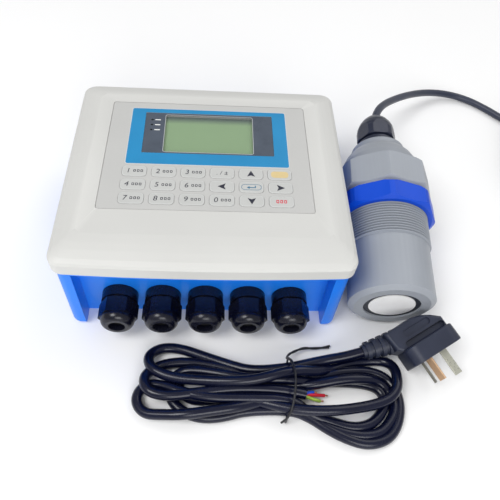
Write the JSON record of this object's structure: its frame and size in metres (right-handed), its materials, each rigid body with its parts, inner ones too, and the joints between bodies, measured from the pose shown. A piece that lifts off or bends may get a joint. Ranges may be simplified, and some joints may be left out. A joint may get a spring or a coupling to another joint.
{
  "type": "ultrasonic distance sensor",
  "caption": "Wall-mount ultrasonic distance meter with hinged keypad cover, cable glands, threaded transducer probe on a signal cable, and a hanked mains cord with plug",
  "frame": {"origin": "centre of the four wall-mount holes in the transmitter's flat back, which lies on the table", "axes": "+Z out of the display through the cover, +X from the transmitter towards the probe, -Y out of the cable glands"},
  "size_m": [0.565, 0.4111, 0.0984],
  "materials": {
    "housing_blue": "satin",
    "cover_grey": "fine texture",
    "panel_film": "matt film",
    "key_film": "embossed film",
    "window_clear": "smoked print round a clear view",
    "lcd": "display glass",
    "lamp": "dark lens",
    "board_green": "solder resist",
    "terminal_green": "moulded",
    "potted_black": "moulded",
    "screw_steel": "zinc plated",
    "pin_steel": "ground",
    "gasket_rubber": "soft",
    "gland_nylon": "glossy nylon",
    "seal_rubber": "soft",
    "probe_grey": "moulded",
    "nut_blue": "moulded",
    "diaphragm_white": "satin",
    "ring_dark": "soft",
    "ceramic": "fired",
    "potting": "cast",
    "slate_plastic": "satin",
    "slate_cable": "smooth sheath",
    "black_cord": "smooth sheath",
    "core_mix": "insulation",
    "tie_black": "ribbon",
    "plug_pvc": "moulded",
    "pin_metal": "plated"
  },
  "bodies": {
    "housing": {"rear_housing": "housing_blue", "cover_gasket": "gasket_rubber", "hinge_pins": "pin_steel", "main_board": "board_green", "board_screws": "screw_steel", "terminal_blocks": "terminal_green", "transformer": "potted_black", "gland_bodies": "gland_nylon", "gland_locknuts": "gland_nylon", "gland_washers": "seal_rubber", "gland_seals": "seal_rubber", "probe_body": "probe_grey", "probe_cap": "probe_grey", "probe_diaphragm": "diaphragm_white", "isolation_ring": "ring_dark", "piezo_disc": "ceramic", "backing_potting": "potting", "probe_gland_body": "slate_plastic", "probe_gland_seal": "seal_rubber", "probe_cable": "slate_cable", "probe_cable_coil": "slate_cable", "plug_body": "plug_pvc", "plug_pins": "pin_metal", "power_cord": "black_cord", "power_cord_hank": "black_cord", "core_wires": "core_mix", "twist_tie": "tie_black"},
    "cover": {"front_cover": "cover_grey", "keypad_overlay": "panel_film", "display_window": "window_clear", "lcd_module": "lcd", "status_lamps": "lamp", "display_board": "board_green", "display_screws": "screw_steel"},
    "key_1_body": {"key_1": "key_film"},
    "key_2_body": {"key_2": "key_film"},
    "key_3_body": {"key_3": "key_film"},
    "key_point_body": {"key_point": "key_film"},
    "key_up_body": {"key_up": "key_film"},
    "key_menu_body": {"key_menu": "key_film"},
    "key_4_body": {"key_4": "key_film"},
    "key_5_body": {"key_5": "key_film"},
    "key_6_body": {"key_6": "key_film"},
    "key_left_body": {"key_left": "key_film"},
    "key_enter_body": {"key_enter": "key_film"},
    "key_right_body": {"key_right": "key_film"},
    "key_7_body": {"key_7": "key_film"},
    "key_8_body": {"key_8": "key_film"},
    "key_9_body": {"key_9": "key_film"},
    "key_0_body": {"key_0": "key_film"},
    "key_down_body": {"key_down": "key_film"},
    "key_escape_body": {"key_escape": "key_film"},
    "lock": {"cover_lock": "screw_steel"},
    "gland_1_nut": {"gland_nut_1": "gland_nylon"},
    "gland_2_nut": {"gland_nut_2": "gland_nylon"},
    "gland_3_nut": {"gland_nut_3": "gland_nylon"},
    "gland_4_nut": {"gland_nut_4": "gland_nylon"},
    "gland_5_nut": {"gland_nut_5": "gland_nylon"},
    "probe_nut": {"probe_locknut": "nut_blue"},
    "probe_gland": {"probe_gland_nut": "slate_plastic"}
  },
  "joints": [
    {"name": "cover_hinge", "type": "hinge", "parent": "housing", "child": "cover", "pos_m": [-0.107, 0, 0.07955], "axis": [0, -1, 0], "range_deg": [0, 100]},
    {"name": "cover_lock_turn", "type": "hinge", "parent": "housing", "child": "lock", "pos_m": [0.1, 0.005, 0.066], "axis": [-1, 0, 0], "range_deg": [0, 90]},
    {"name": "key_1_press", "type": "slide", "parent": "cover", "child": "key_1_body", "axis": [0, 0, -1], "range_m": [0, 0.0005], "stiffness_N_per_m": 400},
    {"name": "key_2_press", "type": "slide", "parent": "cover", "child": "key_2_body", "axis": [0, 0, -1], "range_m": [0, 0.0005], "stiffness_N_per_m": 400},
    {"name": "key_3_press", "type": "slide", "parent": "cover", "child": "key_3_body", "axis": [0, 0, -1], "range_m": [0, 0.0005], "stiffness_N_per_m": 400},
    {"name": "key_point_press", "type": "slide", "parent": "cover", "child": "key_point_body", "axis": [0, 0, -1], "range_m": [0, 0.0005], "stiffness_N_per_m": 400},
    {"name": "key_up_press", "type": "slide", "parent": "cover", "child": "key_up_body", "axis": [0, 0, -1], "range_m": [0, 0.0005], "stiffness_N_per_m": 400},
    {"name": "key_menu_press", "type": "slide", "parent": "cover", "child": "key_menu_body", "axis": [0, 0, -1], "range_m": [0, 0.0005], "stiffness_N_per_m": 400},
    {"name": "key_4_press", "type": "slide", "parent": "cover", "child": "key_4_body", "axis": [0, 0, -1], "range_m": [0, 0.0005], "stiffness_N_per_m": 400},
    {"name": "key_5_press", "type": "slide", "parent": "cover", "child": "key_5_body", "axis": [0, 0, -1], "range_m": [0, 0.0005], "stiffness_N_per_m": 400},
    {"name": "key_6_press", "type": "slide", "parent": "cover", "child": "key_6_body", "axis": [0, 0, -1], "range_m": [0, 0.0005], "stiffness_N_per_m": 400},
    {"name": "key_left_press", "type": "slide", "parent": "cover", "child": "key_left_body", "axis": [0, 0, -1], "range_m": [0, 0.0005], "stiffness_N_per_m": 400},
    {"name": "key_enter_press", "type": "slide", "parent": "cover", "child": "key_enter_body", "axis": [0, 0, -1], "range_m": [0, 0.0005], "stiffness_N_per_m": 400},
    {"name": "key_right_press", "type": "slide", "parent": "cover", "child": "key_right_body", "axis": [0, 0, -1], "range_m": [0, 0.0005], "stiffness_N_per_m": 400},
    {"name": "key_7_press", "type": "slide", "parent": "cover", "child": "key_7_body", "axis": [0, 0, -1], "range_m": [0, 0.0005], "stiffness_N_per_m": 400},
    {"name": "key_8_press", "type": "slide", "parent": "cover", "child": "key_8_body", "axis": [0, 0, -1], "range_m": [0, 0.0005], "stiffness_N_per_m": 400},
    {"name": "key_9_press", "type": "slide", "parent": "cover", "child": "key_9_body", "axis": [0, 0, -1], "range_m": [0, 0.0005], "stiffness_N_per_m": 400},
    {"name": "key_0_press", "type": "slide", "parent": "cover", "child": "key_0_body", "axis": [0, 0, -1], "range_m": [0, 0.0005], "stiffness_N_per_m": 400},
    {"name": "key_down_press", "type": "slide", "parent": "cover", "child": "key_down_body", "axis": [0, 0, -1], "range_m": [0, 0.0005], "stiffness_N_per_m": 400},
    {"name": "key_escape_press", "type": "slide", "parent": "cover", "child": "key_escape_body", "axis": [0, 0, -1], "range_m": [0, 0.0005], "stiffness_N_per_m": 400},
    {"name": "gland_1_turn", "type": "hinge", "parent": "housing", "child": "gland_1_nut", "pos_m": [-0.0674, -0.09, 0.0244], "axis": [0, -1, 0], "range_deg": [-90, 720]},
    {"name": "gland_2_turn", "type": "hinge", "parent": "housing", "child": "gland_2_nut", "pos_m": [-0.0337, -0.09, 0.0244], "axis": [0, -1, 0], "range_deg": [-90, 720]},
    {"name": "gland_3_turn", "type": "hinge", "parent": "housing", "child": "gland_3_nut", "pos_m": [0, -0.09, 0.0244], "axis": [0, -1, 0], "range_deg": [-90, 720]},
    {"name": "gland_4_turn", "type": "hinge", "parent": "housing", "child": "gland_4_nut", "pos_m": [0.0337, -0.09, 0.0244], "axis": [0, -1, 0], "range_deg": [-90, 720]},
    {"name": "gland_5_turn", "type": "hinge", "parent": "housing", "child": "gland_5_nut", "pos_m": [0.0674, -0.09, 0.0244], "axis": [0, -1, 0], "range_deg": [-90, 720]},
    {"name": "probe_nut_travel", "type": "slide", "parent": "housing", "child": "probe_nut", "axis": [-0.059, -0.9924, -0.108], "range_m": [0, 0.02]},
    {"name": "probe_gland_turn", "type": "hinge", "parent": "housing", "child": "probe_gland", "pos_m": [0.15861, 0.09319, 0.05458], "axis": [0.059, 0.9924, 0.108], "range_deg": [-90, 720]}
  ]
}
